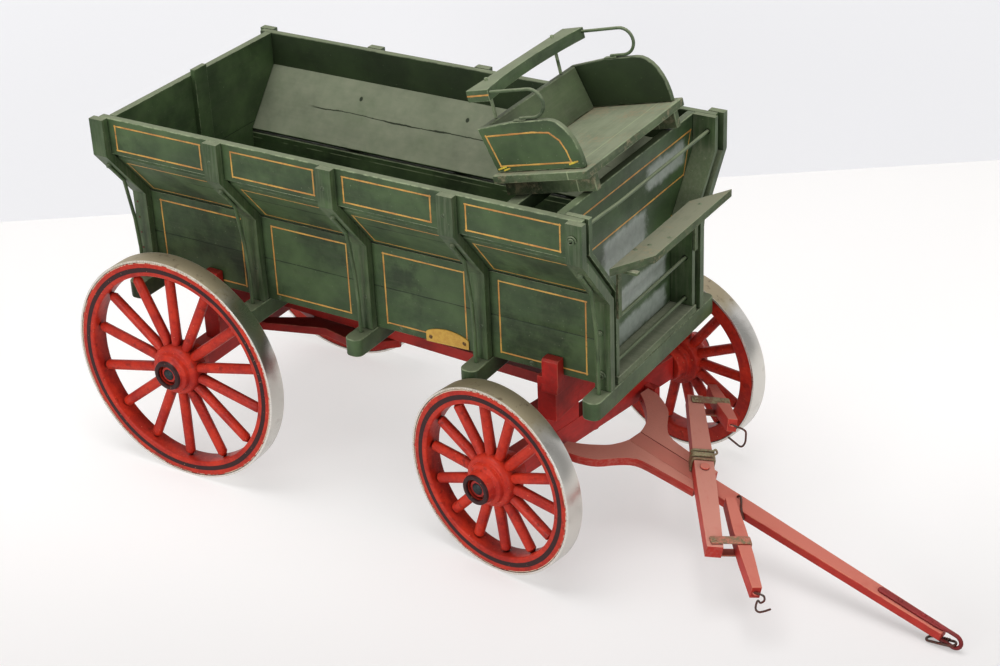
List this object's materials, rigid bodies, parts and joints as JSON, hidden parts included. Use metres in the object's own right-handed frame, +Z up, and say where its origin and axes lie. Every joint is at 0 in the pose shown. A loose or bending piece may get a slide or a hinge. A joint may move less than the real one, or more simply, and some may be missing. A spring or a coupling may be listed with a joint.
{
  "type": "wooden wagon model",
  "caption": "Scale model of a horse-drawn farm wagon with a flared box, raised seat, spoked wheels, steering front axle and a drawbar with doubletree.",
  "frame": {"origin": "on the ground, under the middle of the wagon's overall length and width", "axes": "+X to the front of the wagon, +Y to its left, +Z up"},
  "size_m": [0.704, 0.2654, 0.3557],
  "materials": {
    "green": "aged dark green enamel on wood, satin, with grime",
    "pale_green": "dusty grey-green worn paint on wood, matt",
    "red": "aged vermilion enamel on wood, satin",
    "dusty_red": "faded dusty red paint on wood, matt",
    "dark_iron": "dark tarnished iron wire",
    "bright_steel": "polished tyre band with fine scratches"
  },
  "bodies": {
    "box": {"cross_sill_1": "green", "cross_sill_2": "green", "cross_sill_3": "green", "cross_sill_4": "green", "cross_sill_5": "green", "floor_board": "pale_green", "lower_side_left": "green", "lower_side_right": "green", "flare_side_left": "pale_green", "flare_side_right": "pale_green", "upper_side_left": "green", "upper_side_right": "green", "front_gate": "green", "front_cleat_left": "green", "front_cleat_right": "green", "tie_rod_upper": "pale_green", "tie_rod_middle": "pale_green", "tie_rod_lower": "pale_green", "footboard": "pale_green", "seat_board": "pale_green", "seat_back": "pale_green", "seat_end_left": "green", "seat_end_right": "green", "seat_cross_bar": "green", "lazy_back_rail": "pale_green", "lazy_back_iron_left": "green", "lazy_back_iron_right": "green", "rear_axle": "red", "rear_bolster": "red", "reach": "red", "rear_hounds": "red", "front_bolster": "red", "post_rear_left": "green", "post_rear_right": "green", "post_second_left": "green", "post_second_right": "green", "post_third_left": "green", "post_third_right": "green", "post_fourth_left": "green", "post_fourth_right": "green", "post_front_left": "green", "post_front_right": "green"},
    "tail_gate": {"tail_gate": "green"},
    "steering": {"front_axle": "red"},
    "drawbar": {"drawbar_pole": "dusty_red", "drawbar_arm_left": "dusty_red", "drawbar_arm_right": "dusty_red", "pole_iron": "dark_iron"},
    "doubletree": {"doubletree": "dusty_red"},
    "singletree_left": {"singletree_left": "dusty_red"},
    "singletree_right": {"singletree_right": "dusty_red"},
    "pole_ring": {"pole_ring": "dark_iron"},
    "wheel_rear_left": {"wheel_rear_left": "red", "tyre_rear_left": "bright_steel"},
    "wheel_rear_right": {"wheel_rear_right": "red", "tyre_rear_right": "bright_steel"},
    "wheel_front_left": {"wheel_front_left": "red", "tyre_front_left": "bright_steel"},
    "wheel_front_right": {"wheel_front_right": "red", "tyre_front_right": "bright_steel"}
  },
  "joints": [
    {"name": "tail_gate_slide", "type": "slide", "parent": "box", "child": "tail_gate", "axis": [0, 0, 1], "range_m": [0, 0.06]},
    {"name": "steering_turn", "type": "hinge", "parent": "box", "child": "steering", "pos_m": [0.04021, 0, 0.098], "axis": [0, 0, 1], "range_deg": [-2.5, 22.5]},
    {"name": "drawbar_lift", "type": "hinge", "parent": "steering", "child": "drawbar", "pos_m": [0.05301, -0.00225, 0.07104], "axis": [0.1733, 0.9849, 0], "range_deg": [-32, 6]},
    {"name": "doubletree_swing", "type": "hinge", "parent": "drawbar", "child": "doubletree", "pos_m": [0.13864, -0.01732, 0.05248], "axis": [0.2056, -0.0362, 0.978], "range_deg": [0, 8]},
    {"name": "singletree_left_swing", "type": "hinge", "parent": "doubletree", "child": "singletree_left", "pos_m": [0.0988, 0.04875, 0.0633], "axis": [0.2056, -0.0362, 0.978], "range_deg": [0, 5]},
    {"name": "singletree_right_swing", "type": "hinge", "parent": "doubletree", "child": "singletree_right", "pos_m": [0.17847, -0.08339, 0.04166], "axis": [0.2056, -0.0362, 0.978], "range_deg": [-40, 3]},
    {"name": "ring_swing", "type": "hinge", "parent": "drawbar", "child": "pole_ring", "pos_m": [0.34649, -0.05389, 0.00547], "axis": [0.1733, 0.9849, 0], "range_deg": [-90, 4]},
    {"name": "wheel_rear_left_spin", "type": "hinge", "parent": "box", "child": "wheel_rear_left", "pos_m": [-0.25949, 0.1115, 0.0925], "axis": [0, 1, 0], "continuous": true},
    {"name": "wheel_rear_right_spin", "type": "hinge", "parent": "box", "child": "wheel_rear_right", "pos_m": [-0.25949, -0.1115, 0.0925], "axis": [0, 1, 0], "continuous": true},
    {"name": "wheel_front_left_spin", "type": "hinge", "parent": "steering", "child": "wheel_front_left", "pos_m": [0.05941, 0.10912, 0.0735], "axis": [0.1733, 0.9849, 0], "continuous": true},
    {"name": "wheel_front_right_spin", "type": "hinge", "parent": "steering", "child": "wheel_front_right", "pos_m": [0.021, -0.10912, 0.0735], "axis": [0.1733, 0.9849, 0], "continuous": true}
  ]
}
